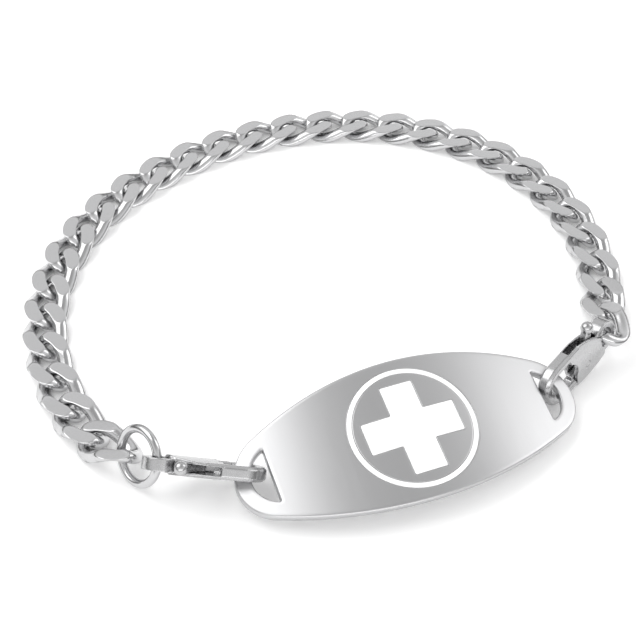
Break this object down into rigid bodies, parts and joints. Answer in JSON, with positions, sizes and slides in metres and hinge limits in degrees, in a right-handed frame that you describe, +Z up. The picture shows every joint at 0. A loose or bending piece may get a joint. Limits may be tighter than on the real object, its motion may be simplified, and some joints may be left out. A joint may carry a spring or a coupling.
{
  "type": "medical alert bracelet",
  "caption": "Closed bracelet: a curved oval identity plate with an inlaid cross, joined by lobster clasps and a jump ring to a flat-filed curb chain.",
  "frame": {"origin": "on the surface that the bracelet lies on, under the middle of the whole loop's box", "axes": "+Z up from the surface, -Y towards the identity plate and the picture's camera, +X to the right seen from there"},
  "size_m": [0.0732, 0.0716, 0.0074],
  "materials": {
    "plate_steel": "fine satin",
    "white_enamel": "smooth white enamel, flush with the plate",
    "chain_steel": "polished, faces filed flat",
    "clasp_steel": "polished"
  },
  "bodies": {
    "bracelet": {"plate": "plate_steel", "emblem_ring": "white_enamel", "emblem_cross": "white_enamel", "link_01": "chain_steel", "link_02": "chain_steel", "link_03": "chain_steel", "link_04": "chain_steel", "link_05": "chain_steel", "link_06": "chain_steel", "link_07": "chain_steel", "link_08": "chain_steel", "link_09": "chain_steel", "link_10": "chain_steel", "link_11": "chain_steel", "link_12": "chain_steel", "link_13": "chain_steel", "link_14": "chain_steel", "link_15": "chain_steel", "link_16": "chain_steel", "link_17": "chain_steel", "link_18": "chain_steel", "link_19": "chain_steel", "link_20": "chain_steel", "link_21": "chain_steel", "link_22": "chain_steel", "link_23": "chain_steel", "link_24": "chain_steel", "link_25": "chain_steel", "link_26": "chain_steel", "link_27": "chain_steel", "link_28": "chain_steel", "link_29": "chain_steel", "jump_ring": "clasp_steel", "left_clasp_body": "clasp_steel", "left_clasp_pin": "clasp_steel", "right_clasp_body": "clasp_steel", "right_clasp_pin": "clasp_steel"},
    "left_lever": {"left_clasp_lever": "clasp_steel"},
    "right_lever": {"right_clasp_lever": "clasp_steel"}
  },
  "joints": [
    {"name": "left_lever_hinge", "type": "hinge", "parent": "bracelet", "child": "left_lever", "pos_m": [-0.0139, -0.02973, 0.00315], "axis": [-0.1138, -0.7295, -0.6745], "range_deg": [0, 12], "stiffness_Nm_per_rad": 0.0005, "springref_deg": -5.73},
    {"name": "right_lever_hinge", "type": "hinge", "parent": "bracelet", "child": "right_lever", "pos_m": [0.02923, -0.01385, 0.0027], "axis": [-0.704, 0.6858, -0.1847], "range_deg": [0, 12], "stiffness_Nm_per_rad": 0.0005, "springref_deg": -5.73}
  ]
}
